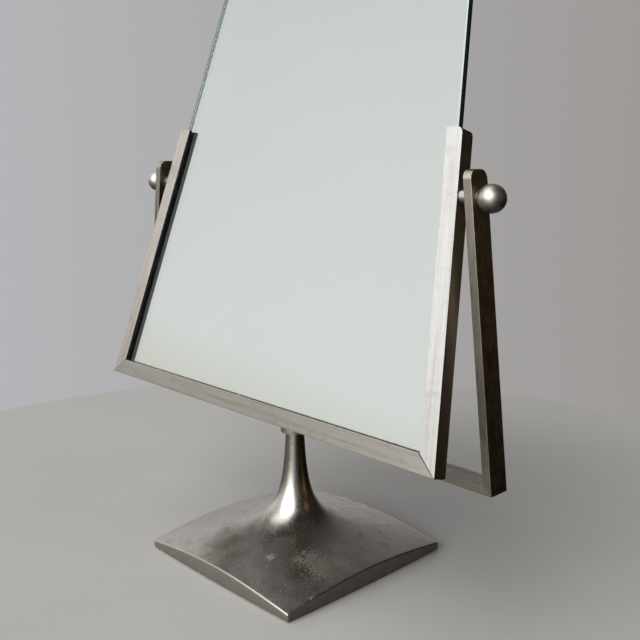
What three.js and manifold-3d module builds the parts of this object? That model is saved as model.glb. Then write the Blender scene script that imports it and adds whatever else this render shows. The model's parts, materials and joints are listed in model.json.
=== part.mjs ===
// Countertop tilting mirror: a flared square base with a tall stem, a flat-bar yoke bolted on top of
// the stem, and a tapered mirror in a three-sided channel frame that tilts between the yoke arms.
// Two ball knobs on the pivot studs clamp the arms and hold the tilt.
// Millimetres. +X to the mirror's right-hand side, -Y towards the person looking in, +Z up.
// The origin is on the table, under the middle of the base.

import * as THREE from 'three';
import { mergeVertices } from 'three/addons/utils/BufferGeometryUtils.js';
import Module from 'manifold-3d';

const wasm = await Module();
wasm.setup();

// ---------------------------------------------------------------- driving dimensions

// Base and stem
const FELT_THICKNESS = 1.2;
const FELT_INSET = 1.6;
const FELT_HOLE_RADIUS = 26;
const BASE_SIDE = 160;
const BASE_SIDE_BULGE = 1.3; // how far the middle of each side stands out from a straight edge
const CORNER_EDGE_HEIGHT = 5.2; // thickness of the plate at its four corners
const FLARE_RISE = 24.65; // height that the flat part of the flare aims at on the axis
const FLARE_REACH = 270; // how widely the flare opens, in square millimetres
const FLARE_CORE_RADIUS = 3.6; // radius that the stem would shrink to if it went on for ever
const STEM_HEIGHT = 97;
const RECESS_RADIUS = 60;
const RECESS_CEILING = 15;
const RECESS_CEILING_RADIUS = 24;

// Fixing of the yoke to the stem
const SCREW_RADIUS = 3;
const SCREW_HEAD_RADIUS = 5.5;
const SCREW_HEAD_HEIGHT = 3.6;
const SCREW_SLOT_WIDTH = 1.4;
const SCREW_SLOT_DEPTH = 1.6;
const SEAT_WASHER_RADIUS = 11;
const SEAT_WASHER_THICKNESS = 3.7;
const NUT_ACROSS_FLATS = 10;
const NUT_THICKNESS = 5;
const NUT_WASHER_RADIUS = 9;
const NUT_WASHER_THICKNESS = 1.6;

// Mirror and its frame, measured square to the glass from the pivot axis
const FRAME_BOTTOM_WIDTH = 355.8;
const FRAME_TAPER = THREE.MathUtils.degToRad(8.04); // lean of each side rail
const FRAME_BELOW_PIVOT = 169.9;
const FRAME_ABOVE_PIVOT = 42.7;
const GLASS_ABOVE_PIVOT = 170;
const RAIL_FACE = 12.2;
const RAIL_DEPTH = 11.4;
const RAIL_WEB = 4.6;
const RAIL_END_RADIUS = 4.5;
const GLASS_THICKNESS = 4;
const BACKING_THICKNESS = 1.7;
const BACKING_INSET = 0.4;
const GLASS_CORNER_RADIUS = 2;
const STRIP_THICKNESS = 0.9;
const CLAMP_SCREW_RADIUS = 1.5;
const CLAMP_SCREW_BELOW_END = 12;
const TILT = THREE.MathUtils.degToRad(15.5); // top of the mirror leans back

// Yoke
const BAR_THICKNESS = 6;
const BAR_DEPTH = 16.7;
const SWING_CLEARANCE = 6.5; // bottom of the swinging frame to the top of the crossbar
const FOOT_CLEARANCE = 3.9; // lower corner of the frame to the arm beside it
const ARM_ABOVE_PIVOT = 17.2;
const ARM_END_RADIUS = 6;

// Pivots
const STUD_RADIUS = 2.5;
const STUD_IN_WEB = 3.6;
const BUSH_RADIUS = 5.3;
const BUSH_LENGTH = 6.55;
const WASHER_RADIUS = 5.6;
const WASHER_THICKNESS = 0.9;
const SEAT_DEPTH = 0.25; // spot face in the arm, at the pivot axis
const BALL_RADIUS = 8.95;
const BALL_FLAT_RADIUS = 5; // the flat that bears on the washer
const BALL_BORE_DEPTH = 10.5;

// Clearances
const FIT_GAP = 0.3; // round a shaft or screw, and where a piece is cut to its neighbour
const FACE_GAP = 0.1; // between flat faces that bear on each other
const JOINT_GAP = 0.3; // brazed mitres

// Roundness
const FLARE_SIDES = 72;
const FLARE_STEPS = 22;
const BALL_SIDES = 32;
const BALL_STEPS = 14;
const ROUND_SIDES = 24;
const CORNER_STEPS = 5;
const SIDE_STEPS = 8; // in the curve of each side of the base

// ---------------------------------------------------------------- sizes that follow

const baseCornerRadius = BASE_SIDE / Math.SQRT2;
const flareSlope = (FLARE_RISE + FLARE_REACH / (baseCornerRadius - FLARE_CORE_RADIUS)
  - CORNER_EDGE_HEIGHT) / baseCornerRadius;
const crossbarBottom = STEM_HEIGHT + SEAT_WASHER_THICKNESS + 2 * FACE_GAP;
const crossbarTop = crossbarBottom + BAR_THICKNESS;
const pivotHeight = crossbarTop + SWING_CLEARANCE + FRAME_BELOW_PIVOT;
const taper = Math.tan(FRAME_TAPER);
const grooveWidth = GLASS_THICKNESS + BACKING_THICKNESS + 3 * FACE_GAP;
const flangeThickness = (RAIL_DEPTH - grooveWidth) / 2;
const glassInset = RAIL_WEB + STRIP_THICKNESS + 2 * FACE_GAP;
const glassFront = -grooveWidth / 2 + FACE_GAP;
const backingFront = glassFront + GLASS_THICKNESS + FACE_GAP;

// Half the frame's width at height v above the pivot, moved in by a distance square to the rail.
function frameHalfWidth(v, inset = 0) {
  const outer = FRAME_BOTTOM_WIDTH / 2 - taper * (v + FRAME_BELOW_PIVOT);
  return outer - inset / Math.cos(FRAME_TAPER);
}

// Places along the pivot axis, from the middle of the mirror outwards.
const railFace = frameHalfWidth(0);
const bushEnd = railFace + BUSH_LENGTH;
const frictionWasherStart = bushEnd + FACE_GAP;
const innerSeat = frictionWasherStart + WASHER_THICKNESS + FACE_GAP;
const armInner = innerSeat - SEAT_DEPTH;
const armLean = (FRAME_BOTTOM_WIDTH / 2 + FOOT_CLEARANCE - armInner) / FRAME_BELOW_PIVOT;
const armThicknessAlongX = BAR_THICKNESS * Math.hypot(1, armLean);
const outerSeat = armInner + armThicknessAlongX - SEAT_DEPTH;
const knobWasherStart = outerSeat + FACE_GAP;
const ballFlat = knobWasherStart + WASHER_THICKNESS + FACE_GAP;
const ballFlatAngle = Math.asin(BALL_FLAT_RADIUS / BALL_RADIUS);
const ballCentre = ballFlat + BALL_RADIUS * Math.cos(ballFlatAngle);
const ballBoreEnd = ballFlat + BALL_BORE_DEPTH;
const studStart = railFace - STUD_IN_WEB;
const studEnd = ballBoreEnd - 1;

// ---------------------------------------------------------------- materials

const finishes = {
  nickel: { color: 0x8d877c, roughness: 0.35, metalness: 1 },
  steel: { color: 0x8a8a8a, roughness: 0.4, metalness: 1 },
  glass: { color: 0xc8d2cd, roughness: 0.03, metalness: 0.9 },
  blackPaint: { color: 0x101010, roughness: 0.6, metalness: 0 },
  felt: { color: 0x26301f, roughness: 1, metalness: 0 },
  bedding: { color: 0x1b1a19, roughness: 0.9, metalness: 0 },
  fibre: { color: 0x4a2a1c, roughness: 0.8, metalness: 0 },
};

// ---------------------------------------------------------------- solids

// A closed geometry as a solid that can be joined and cut.
function solidOf(geometry) {
  geometry.deleteAttribute('normal');
  geometry.deleteAttribute('uv');
  const welded = mergeVertices(geometry, 1e-4);
  const index = Array.from(welded.index.array);
  const corners = [];
  for (let i = 0; i < index.length; i += 3) {
    const [a, b, c] = index.slice(i, i + 3);
    if (a !== b && b !== c && c !== a) corners.push(a, b, c);
  }
  return new wasm.Manifold(new wasm.Mesh({
    numProp: 3,
    vertProperties: new Float32Array(welded.attributes.position.array),
    triVerts: new Uint32Array(corners),
  }));
}

function geometryOf(solid) {
  const { vertProperties, triVerts } = solid.getMesh();
  const geometry = new THREE.BufferGeometry();
  geometry.setAttribute('position', new THREE.BufferAttribute(vertProperties, 3));
  geometry.setIndex(new THREE.BufferAttribute(triVerts, 1));
  geometry.computeVertexNormals();
  return geometry;
}

function meshOf(name, solid, finish) {
  const mesh = new THREE.Mesh(geometryOf(solid), new THREE.MeshStandardMaterial(finishes[finish]));
  mesh.name = name;
  return mesh;
}

// A flat outline in X and Z, given depth along Y from front to back.
function plate(shape, front, back) {
  const geometry = new THREE.ExtrudeGeometry(shape, {
    depth: back - front, bevelEnabled: false, curveSegments: CORNER_STEPS,
  });
  geometry.rotateX(Math.PI / 2);
  geometry.translate(0, back, 0);
  return solidOf(geometry);
}

// A flat outline in X and Y, given height along Z.
function slab(shape, bottom, top, curveSegments = CORNER_STEPS) {
  const geometry = new THREE.ExtrudeGeometry(shape, {
    depth: top - bottom, bevelEnabled: false, curveSegments,
  });
  geometry.translate(0, 0, bottom);
  return solidOf(geometry);
}

// A profile of [radius, height] points turned about the Z axis. It runs anticlockwise.
function turned(profile, sides = ROUND_SIDES) {
  const points = profile.map(([radius, height]) => new THREE.Vector2(radius, height));
  const geometry = new THREE.LatheGeometry(points, sides);
  geometry.rotateX(Math.PI / 2);
  return solidOf(geometry);
}

// The same profile turned about the X axis, so that its heights run along +X.
function turnedAlongX(profile, sides = ROUND_SIDES) {
  return turned(profile, sides).rotate([0, 90, 0]);
}

function rod(radius, start, end) {
  return [[0, start], [radius, start], [radius, end], [0, end]];
}

function ring(inner, outer, start, end) {
  return [[inner, start], [outer, start], [outer, end], [inner, end], [inner, start]];
}

function polygon(points) {
  return new THREE.Shape(points.map(([x, y]) => new THREE.Vector2(x, y)));
}

// The same outline on the other side of the vertical axis.
function flipped(points) {
  return points.map(([x, y]) => [-x, y]).reverse();
}

// A thin strip centred on the line from one point to the other and a little past both.
function sawCut(from, to, width) {
  const start = new THREE.Vector2(...from);
  const end = new THREE.Vector2(...to);
  const along = end.clone().sub(start).normalize();
  const across = new THREE.Vector2(-along.y, along.x).multiplyScalar(width / 2);
  start.addScaledVector(along, -RAIL_FACE);
  end.addScaledVector(along, RAIL_FACE);
  return [
    [start.x - across.x, start.y - across.y],
    [end.x - across.x, end.y - across.y],
    [end.x + across.x, end.y + across.y],
    [start.x + across.x, start.y + across.y],
  ];
}

// ---------------------------------------------------------------- base and stem

function flareHeight(radius) {
  return FLARE_RISE - flareSlope * radius + FLARE_REACH / (radius - FLARE_CORE_RADIUS);
}

// The radius at which the flare reaches a height, from the same formula solved for the radius.
function flareRadius(height) {
  const linear = height - FLARE_RISE - flareSlope * FLARE_CORE_RADIUS;
  const constant = -(height - FLARE_RISE) * FLARE_CORE_RADIUS - FLARE_REACH;
  return (-linear + Math.sqrt(linear * linear - 4 * flareSlope * constant)) / (2 * flareSlope);
}

// A square with slightly convex sides, its corners where a straight-sided square has them.
function baseOutline(inset) {
  const half = BASE_SIDE / 2 - inset;
  const shape = new THREE.Shape();
  shape.moveTo(-half, -half);
  const corners = [[half, -half], [half, half], [-half, half], [-half, -half]];
  const middles = [[0, -1], [1, 0], [0, 1], [-1, 0]];
  corners.forEach(([x, y], side) => {
    const [mx, my] = middles[side];
    const reach = half + 2 * BASE_SIDE_BULGE;
    shape.quadraticCurveTo(mx * reach, my * reach, x, y);
  });
  return shape;
}

function makeBaseCasting() {
  const outer = baseCornerRadius + 2 * BASE_SIDE_BULGE;
  const topRadius = flareRadius(STEM_HEIGHT);
  const profile = [[0, 0], [outer, 0]];
  for (let step = 0; step <= FLARE_STEPS; step += 1) {
    const share = step / FLARE_STEPS;
    const reach = (outer - FLARE_CORE_RADIUS)
      * ((topRadius - FLARE_CORE_RADIUS) / (outer - FLARE_CORE_RADIUS)) ** share;
    const radius = FLARE_CORE_RADIUS + reach;
    profile.push([radius, flareHeight(radius)]);
  }
  profile.push([0, STEM_HEIGHT]);
  const recess = [
    [0, -1], [RECESS_RADIUS + 1, -1], [RECESS_RADIUS, 1],
    [RECESS_CEILING_RADIUS, RECESS_CEILING], [0, RECESS_CEILING],
  ];
  return turned(profile, FLARE_SIDES)
    .intersect(slab(baseOutline(0), 0, STEM_HEIGHT + 1, SIDE_STEPS))
    .subtract(turned(recess, 48))
    .subtract(turned(rod(SCREW_RADIUS + FIT_GAP, RECESS_CEILING - 1, STEM_HEIGHT + 1)));
}

function makeBaseFelt() {
  const shape = baseOutline(FELT_INSET);
  shape.holes.push(new THREE.Path().absarc(0, 0, FELT_HOLE_RADIUS, 0, 2 * Math.PI, true));
  return slab(shape, 0, FELT_THICKNESS - FACE_GAP, SIDE_STEPS);
}

// ---------------------------------------------------------------- yoke fixing

const nutWasherTop = RECESS_CEILING - FACE_GAP;
const nutTop = nutWasherTop - NUT_WASHER_THICKNESS - FACE_GAP;

function makeYokeScrew() {
  const bearing = crossbarTop + FACE_GAP;
  const headTop = bearing + SCREW_HEAD_HEIGHT;
  const edge = SCREW_HEAD_HEIGHT / 5;
  const end = nutTop - NUT_THICKNESS - 1.5;
  const profile = [
    [0, end], [SCREW_RADIUS - 0.6, end], [SCREW_RADIUS, end + 0.6], [SCREW_RADIUS, bearing],
    [SCREW_HEAD_RADIUS, bearing], [SCREW_HEAD_RADIUS, headTop - edge],
    [SCREW_HEAD_RADIUS - edge, headTop], [0, headTop],
  ];
  const slot = polygon([
    [-SCREW_HEAD_RADIUS - 1, -SCREW_SLOT_WIDTH / 2], [SCREW_HEAD_RADIUS + 1, -SCREW_SLOT_WIDTH / 2],
    [SCREW_HEAD_RADIUS + 1, SCREW_SLOT_WIDTH / 2], [-SCREW_HEAD_RADIUS - 1, SCREW_SLOT_WIDTH / 2],
  ]);
  return turned(profile).subtract(slab(slot, headTop - SCREW_SLOT_DEPTH, headTop + 1));
}

function makeSeatWasher() {
  const bottom = STEM_HEIGHT + FACE_GAP;
  const top = bottom + SEAT_WASHER_THICKNESS;
  return turned(ring(SCREW_RADIUS + FIT_GAP, SEAT_WASHER_RADIUS, bottom, top), 48);
}

function makeBaseWasher() {
  const bottom = nutWasherTop - NUT_WASHER_THICKNESS;
  return turned(ring(SCREW_RADIUS + FIT_GAP, NUT_WASHER_RADIUS, bottom, nutWasherTop));
}

function makeBaseNut() {
  const radius = NUT_ACROSS_FLATS / Math.sqrt(3);
  const points = [];
  for (let side = 0; side < 6; side += 1) {
    const angle = side * Math.PI / 3;
    points.push([radius * Math.cos(angle), radius * Math.sin(angle)]);
  }
  const bore = turned(rod(SCREW_RADIUS + FIT_GAP, nutTop - NUT_THICKNESS - 1, nutTop + 1));
  return slab(polygon(points), nutTop - NUT_THICKNESS, nutTop).subtract(bore);
}

// ---------------------------------------------------------------- yoke

function armInnerAt(height) {
  return armInner + armLean * (pivotHeight - height);
}

const yokeInnerCorner = [armInnerAt(crossbarTop), crossbarTop];
const yokeOuterCorner = [armInnerAt(crossbarBottom) + armThicknessAlongX, crossbarBottom];
const yokeMitre = sawCut(yokeInnerCorner, yokeOuterCorner, JOINT_GAP);

function makeCrossbar() {
  const outline = [
    flipped([yokeOuterCorner])[0], yokeOuterCorner, yokeInnerCorner, flipped([yokeInnerCorner])[0],
  ];
  const hole = rod(SCREW_RADIUS + FIT_GAP, crossbarBottom - 1, crossbarTop + 1);
  return plate(polygon(outline), -BAR_DEPTH / 2, BAR_DEPTH / 2)
    .subtract(plate(polygon(yokeMitre), -BAR_DEPTH, BAR_DEPTH))
    .subtract(plate(polygon(flipped(yokeMitre)), -BAR_DEPTH, BAR_DEPTH))
    .subtract(turned(hole));
}

// The right arm: a leaning bar with its free end rounded front and back, bored for the stud and
// spot-faced square to the pivot axis on both sides.
function makeRightArm() {
  const top = pivotHeight + ARM_ABOVE_PIVOT;
  const leaning = polygon([
    yokeOuterCorner, [armInnerAt(top) + armThicknessAlongX, top], [armInnerAt(top), top],
    yokeInnerCorner,
  ]);
  const half = BAR_DEPTH / 2;
  const side = new THREE.Shape();
  side.moveTo(-half, 0);
  side.lineTo(half, 0);
  side.lineTo(half, top - ARM_END_RADIUS);
  side.absarc(half - ARM_END_RADIUS, top - ARM_END_RADIUS, ARM_END_RADIUS, 0, Math.PI / 2);
  side.absarc(-half + ARM_END_RADIUS, top - ARM_END_RADIUS, ARM_END_RADIUS, Math.PI / 2, Math.PI);
  side.closePath();
  const wide = armInnerAt(0) + BAR_DEPTH;
  const sideSolid = plate(side, -wide, wide).rotate([0, 0, 90]);
  const seatRadius = WASHER_RADIUS + 2 * FIT_GAP;
  const cutters = [
    rod(STUD_RADIUS + FIT_GAP, armInner - BAR_DEPTH, armInner + BAR_DEPTH),
    rod(seatRadius, innerSeat - BAR_DEPTH, innerSeat),
    rod(seatRadius, outerSeat, outerSeat + BAR_DEPTH),
  ];
  return cutters.reduce(
    (bar, cutter) => bar.subtract(turnedAlongX(cutter).translate([0, 0, pivotHeight])),
    plate(leaning, -BAR_DEPTH, BAR_DEPTH)
      .intersect(sideSolid)
      .subtract(plate(polygon(yokeMitre), -BAR_DEPTH, BAR_DEPTH)),
  );
}

// ---------------------------------------------------------------- mirror frame
// In the mirror's own frame: X across, Z up the glass from the pivot axis, Y square to the glass
// with the front at -Y.

const frameOuterCorner = [frameHalfWidth(-FRAME_BELOW_PIVOT), -FRAME_BELOW_PIVOT];
const frameInnerCorner = [
  frameHalfWidth(-FRAME_BELOW_PIVOT + RAIL_FACE, RAIL_FACE), -FRAME_BELOW_PIVOT + RAIL_FACE,
];
const frameMitre = sawCut(frameOuterCorner, frameInnerCorner, JOINT_GAP);

// A tapered panel that follows the frame, moved in from its sides and bottom, up to a top edge.
function panelOutline(inset, top) {
  const bottom = -FRAME_BELOW_PIVOT + inset;
  const right = [[frameHalfWidth(bottom, inset), bottom], [frameHalfWidth(top, inset), top]];
  return [...flipped(right), ...right];
}

function makeGroove() {
  const outline = panelOutline(RAIL_WEB, FRAME_ABOVE_PIVOT + RAIL_FACE);
  return plate(polygon(outline), -grooveWidth / 2, grooveWidth / 2);
}

function makeBottomRail() {
  const outline = [
    ...flipped([frameOuterCorner]), frameOuterCorner, frameInnerCorner, ...flipped([frameInnerCorner]),
  ];
  return plate(polygon(outline), -RAIL_DEPTH / 2, RAIL_DEPTH / 2)
    .subtract(plate(polygon(frameMitre), -RAIL_DEPTH, RAIL_DEPTH))
    .subtract(plate(polygon(flipped(frameMitre)), -RAIL_DEPTH, RAIL_DEPTH))
    .subtract(makeGroove());
}

// Where the screw that presses on the backing sits in the rear flange of the right rail.
const clampScrewHeight = FRAME_ABOVE_PIVOT - CLAMP_SCREW_BELOW_END;
const clampScrewAcross = frameHalfWidth(clampScrewHeight, (RAIL_WEB + RAIL_FACE) / 2 + 1);

// The right rail: channel section, mitred at the foot, with a rounded outer corner at its free end.
function makeRightRail() {
  const top = FRAME_ABOVE_PIVOT;
  const outerTop = frameHalfWidth(top);
  const shape = new THREE.Shape();
  shape.moveTo(...frameInnerCorner);
  shape.lineTo(...frameOuterCorner);
  shape.lineTo(frameHalfWidth(top - RAIL_END_RADIUS), top - RAIL_END_RADIUS);
  shape.quadraticCurveTo(outerTop, top, outerTop - RAIL_END_RADIUS, top);
  shape.lineTo(frameHalfWidth(top, RAIL_FACE), top);
  shape.closePath();
  const studHole = rod(STUD_RADIUS + FIT_GAP, railFace - RAIL_WEB - 1, railFace + RAIL_WEB);
  const screwHole = plate(
    new THREE.Shape().absarc(
      clampScrewAcross, clampScrewHeight, CLAMP_SCREW_RADIUS + FIT_GAP, 0, 2 * Math.PI,
    ),
    0,
    RAIL_DEPTH,
  );
  return plate(shape, -RAIL_DEPTH / 2, RAIL_DEPTH / 2)
    .subtract(plate(polygon(frameMitre), -RAIL_DEPTH, RAIL_DEPTH))
    .subtract(makeGroove())
    .subtract(turnedAlongX(studHole))
    .subtract(screwHole);
}

function makeClampScrew() {
  const shape = new THREE.Shape();
  shape.absarc(clampScrewAcross, clampScrewHeight, CLAMP_SCREW_RADIUS, 0, 2 * Math.PI);
  return plate(shape, grooveWidth / 2, RAIL_DEPTH / 2 - FACE_GAP);
}

function makeGlass() {
  const top = GLASS_ABOVE_PIVOT;
  const [, bottomLeft, bottomRight] = panelOutline(glassInset, top);
  const right = frameHalfWidth(top, glassInset);
  const rightBelow = frameHalfWidth(top - GLASS_CORNER_RADIUS, glassInset);
  const shape = new THREE.Shape();
  shape.moveTo(...bottomLeft);
  shape.lineTo(...bottomRight);
  shape.lineTo(rightBelow, top - GLASS_CORNER_RADIUS);
  shape.quadraticCurveTo(right, top, right - GLASS_CORNER_RADIUS, top);
  shape.lineTo(-right + GLASS_CORNER_RADIUS, top);
  shape.quadraticCurveTo(-right, top, -rightBelow, top - GLASS_CORNER_RADIUS);
  shape.closePath();
  return plate(shape, glassFront, glassFront + GLASS_THICKNESS);
}

function makeBacking() {
  const outline = panelOutline(glassInset + BACKING_INSET, GLASS_ABOVE_PIVOT - BACKING_INSET);
  return plate(polygon(outline), backingFront, backingFront + BACKING_THICKNESS);
}

const stripOuterInset = RAIL_WEB + FACE_GAP;
const stripInnerInset = stripOuterInset + STRIP_THICKNESS;
const stripHalfDepth = grooveWidth / 2 - FACE_GAP;

function makeRightStrip() {
  const bottom = -FRAME_BELOW_PIVOT + stripOuterInset;
  const top = FRAME_ABOVE_PIVOT - RAIL_END_RADIUS;
  const outline = polygon([
    [frameHalfWidth(bottom, stripInnerInset), bottom],
    [frameHalfWidth(bottom, stripOuterInset), bottom],
    [frameHalfWidth(top, stripOuterInset), top],
    [frameHalfWidth(top, stripInnerInset), top],
  ]);
  return plate(outline, -stripHalfDepth, stripHalfDepth);
}

function makeBottomStrip() {
  const bottom = -FRAME_BELOW_PIVOT + stripOuterInset;
  const top = bottom + STRIP_THICKNESS;
  const reach = frameHalfWidth(top, stripInnerInset + FIT_GAP);
  const outline = polygon([[-reach, bottom], [reach, bottom], [reach, top], [-reach, top]]);
  return plate(outline, -stripHalfDepth, stripHalfDepth);
}

// ---------------------------------------------------------------- pivots
// Along the X axis in the mirror's own frame, for the right-hand side.

function makeStud() {
  return turnedAlongX(rod(STUD_RADIUS, studStart, studEnd));
}

// The spacer between rail and washer, its inner end cut to the lean of the rail.
function makeBush() {
  const near = railFace - BUSH_RADIUS;
  const tube = turnedAlongX(ring(STUD_RADIUS + FIT_GAP, BUSH_RADIUS, near, bushEnd));
  const lean = 2 * BUSH_RADIUS;
  const railSide = polygon([
    [near - 1, -lean], [frameHalfWidth(-lean, -FIT_GAP), -lean],
    [frameHalfWidth(lean, -FIT_GAP), lean], [near - 1, lean],
  ]);
  return tube.subtract(plate(railSide, -lean, lean));
}

function makeWasher(start) {
  return turnedAlongX(
    ring(STUD_RADIUS + FIT_GAP, WASHER_RADIUS, start, start + WASHER_THICKNESS),
  );
}

// A ball with a flat that bears on the washer and a blind bore for the stud.
function makeBallKnob() {
  const profile = [[0, ballFlat]];
  for (let step = 0; step <= BALL_STEPS; step += 1) {
    const angle = ballFlatAngle + (Math.PI - ballFlatAngle) * step / BALL_STEPS;
    const radius = step === BALL_STEPS ? 0 : BALL_RADIUS * Math.sin(angle);
    profile.push([radius, ballCentre - BALL_RADIUS * Math.cos(angle)]);
  }
  const bore = rod(STUD_RADIUS + FIT_GAP, ballFlat - 1, ballBoreEnd);
  return turnedAlongX(profile, BALL_SIDES).subtract(turnedAlongX(bore));
}

// ---------------------------------------------------------------- assembly

// Adds a right-hand piece and its mirror image to a group.
function addPair(group, name, solid, finish) {
  group.add(meshOf(`${name}_right`, solid, finish));
  group.add(meshOf(`${name}_left`, solid.mirror([1, 0, 0]), finish));
}

const stand = new THREE.Group();
stand.position.z = FELT_THICKNESS;
stand.add(meshOf('base_casting', makeBaseCasting(), 'nickel'));
stand.add(meshOf('seat_washer', makeSeatWasher(), 'nickel'));
stand.add(meshOf('yoke_crossbar', makeCrossbar(), 'nickel'));
addPair(stand, 'yoke_arm', makeRightArm(), 'nickel');
stand.add(meshOf('yoke_screw', makeYokeScrew(), 'steel'));
stand.add(meshOf('base_washer', makeBaseWasher(), 'steel'));
stand.add(meshOf('base_nut', makeBaseNut(), 'steel'));

const mirror = new THREE.Group();
mirror.position.z = FELT_THICKNESS + pivotHeight;
mirror.rotation.x = -TILT;
mirror.add(meshOf('rail_bottom', makeBottomRail(), 'nickel'));
addPair(mirror, 'rail', makeRightRail(), 'nickel');
mirror.add(meshOf('mirror_glass', makeGlass(), 'glass'));
mirror.add(meshOf('mirror_backing', makeBacking(), 'blackPaint'));
mirror.add(meshOf('bedding_strip_bottom', makeBottomStrip(), 'bedding'));
addPair(mirror, 'bedding_strip', makeRightStrip(), 'bedding');
addPair(mirror, 'clamp_screw', makeClampScrew(), 'steel');
addPair(mirror, 'pivot_stud', makeStud(), 'steel');
addPair(mirror, 'spacer_bush', makeBush(), 'nickel');
addPair(mirror, 'friction_washer', makeWasher(frictionWasherStart), 'fibre');
addPair(mirror, 'knob_washer', makeWasher(knobWasherStart), 'steel');
addPair(mirror, 'ball_knob', makeBallKnob(), 'nickel');

const group = new THREE.Group();
group.add(meshOf('base_felt', makeBaseFelt(), 'felt'));
group.add(stand);
group.add(mirror);

export default group;
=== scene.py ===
"""Looks of the countertop tilting mirror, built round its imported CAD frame.

Everything is in metres, in the CAD frame: +X to the mirror's right-hand side, -Y towards the person
looking in, +Z up, and the origin on the floor under the middle of the base.
"""

import json
import math

import bmesh
import bpy
from mathutils import Matrix, Vector


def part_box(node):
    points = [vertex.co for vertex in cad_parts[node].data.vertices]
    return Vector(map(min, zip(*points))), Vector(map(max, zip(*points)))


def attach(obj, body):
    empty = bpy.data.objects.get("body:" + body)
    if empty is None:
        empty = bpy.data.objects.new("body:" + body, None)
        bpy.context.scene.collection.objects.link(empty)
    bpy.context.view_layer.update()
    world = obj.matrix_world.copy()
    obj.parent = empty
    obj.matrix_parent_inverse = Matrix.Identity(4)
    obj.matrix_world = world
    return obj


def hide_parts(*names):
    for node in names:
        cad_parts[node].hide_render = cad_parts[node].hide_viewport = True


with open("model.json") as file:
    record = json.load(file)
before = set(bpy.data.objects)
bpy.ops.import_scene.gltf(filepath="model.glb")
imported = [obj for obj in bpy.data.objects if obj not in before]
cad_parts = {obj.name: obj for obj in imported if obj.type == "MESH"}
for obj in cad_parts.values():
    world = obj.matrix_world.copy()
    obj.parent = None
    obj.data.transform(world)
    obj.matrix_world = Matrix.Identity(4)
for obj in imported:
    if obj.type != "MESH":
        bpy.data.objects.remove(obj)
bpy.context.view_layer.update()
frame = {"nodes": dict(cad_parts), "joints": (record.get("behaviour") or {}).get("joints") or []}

MM = 0.001

# ---------------------------------------------------------------- sizes shared with the CAD part

TILT = math.radians(15.5)  # the top of the mirror leans back
TAPER = math.radians(8.04)  # lean of each side rail

FLARE_RISE = 24.65 * MM
FLARE_REACH = 270 * MM * MM
FLARE_CORE_RADIUS = 3.6 * MM
CORNER_EDGE_HEIGHT = 5.2 * MM
BASE_HALF = 80 * MM
BASE_SIDE_BULGE = 1.3 * MM
STEM_HEIGHT = 97 * MM
SCREW_HOLE_RADIUS = 3.3 * MM
RECESS_RADIUS = 60 * MM
RECESS_CEILING = 15 * MM
RECESS_CEILING_RADIUS = 24 * MM

SIDES = (("right", 1), ("left", -1))
PIVOT = Vector(frame["joints"][0]["pos_m"])
MIRROR_PLACE = Matrix.Translation(PIVOT) @ Matrix.Rotation(-TILT, 4, "X")


# ---------------------------------------------------------------- camera

def direction(azimuth, elevation):
    """A unit vector. Azimuth 0 is -Y, in front of the mirror, and 90 is +X; both are in degrees."""
    a, e = math.radians(azimuth), math.radians(elevation)
    return Vector((math.sin(a) * math.cos(e), -math.cos(a) * math.cos(e), math.sin(e)))


CAMERA_BACKWARDS = direction(46.164, 11.293)
CAMERA_PLACE = Vector((0.48965, -0.44327, 0.31751))
CAMERA_LENS = 50.125
CAMERA_SENSOR = 36
CAMERA_NEAR_LIMIT = 10 * MM


def make_camera():
    data = bpy.data.cameras.new("camera")
    data.lens = CAMERA_LENS
    data.sensor_width = CAMERA_SENSOR
    data.clip_start = CAMERA_NEAR_LIMIT
    camera = bpy.data.objects.new("camera", data)
    camera.location = CAMERA_PLACE
    camera.rotation_euler = (-CAMERA_BACKWARDS).to_track_quat("-Z", "Y").to_euler()
    bpy.context.scene.collection.objects.link(camera)
    bpy.context.scene.camera = camera


# ---------------------------------------------------------------- studio

# Soft areas of the surroundings: where, the angle within which each is full, the angle at which it
# has faded out, and the light that it adds.
GLOWS = [
    (direction(-32, 4), 8, 72, (0.53, 0.53, 0.52)),  # pale wall in front of the mirror
    (direction(-102, 14), 10, 44, (0.42, 0.42, 0.43)),  # the same wall, on the left
    (direction(6, 28), 26, 38, (2.7, 2.7, 2.7)),  # window
    (direction(-48, 66), 10, 31, (1.4, 1.4, 1.38)),  # its light on the ceiling
    (direction(108, 32), 2, 13, (0.24, 0.13, 0.05)),  # two warm things in the dark side of the room
    (direction(116, 0), 2, 13, (0.30, 0.15, 0.04)),
]
WALL = (0.25, 0.247, 0.247)
TABLE_SHEEN = (direction(22, -14), 6, 34)  # window light that the table throws back up
TABLE_SHEEN_COLOUR = (0.34, 0.34, 0.35)
BACKDROP = (direction(-134, -10), 27, 35)  # the plain wall behind, seen past the object
BACKDROP_LEFT, BACKDROP_RIGHT = (0.46, 0.46, 0.48), (0.34, 0.325, 0.315)
BACKDROP_ALONG = direction(136, 0)  # from its left end to its right end
BACKDROP_HALF_WIDTH = 0.33
SHADE = (direction(130, 12), 42, 80)  # the unlit side of the room
SHADE_COLOUR = (0.018, 0.014, 0.009)
SHADE_COVERS = 0.97

# How bright the plain wall is at each height, and how much of the light is left near the horizon
# and below it. A height is from -1, straight down, to 1, straight up.
OVERHEAD = [(0.0, 1.0), (0.55, 0.85), (0.85, 0.35), (1.0, 0.25)]
BELOW = [(-1.0, 0.12), (-0.42, 0.22), (-0.33, 0.17), (-0.19, 0.13), (-0.09, 0.29),
         (-0.01, 0.60), (0.05, 0.90), (0.12, 1.0)]
BELOW_TINT = (1, 0.96, 0.88)


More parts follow.
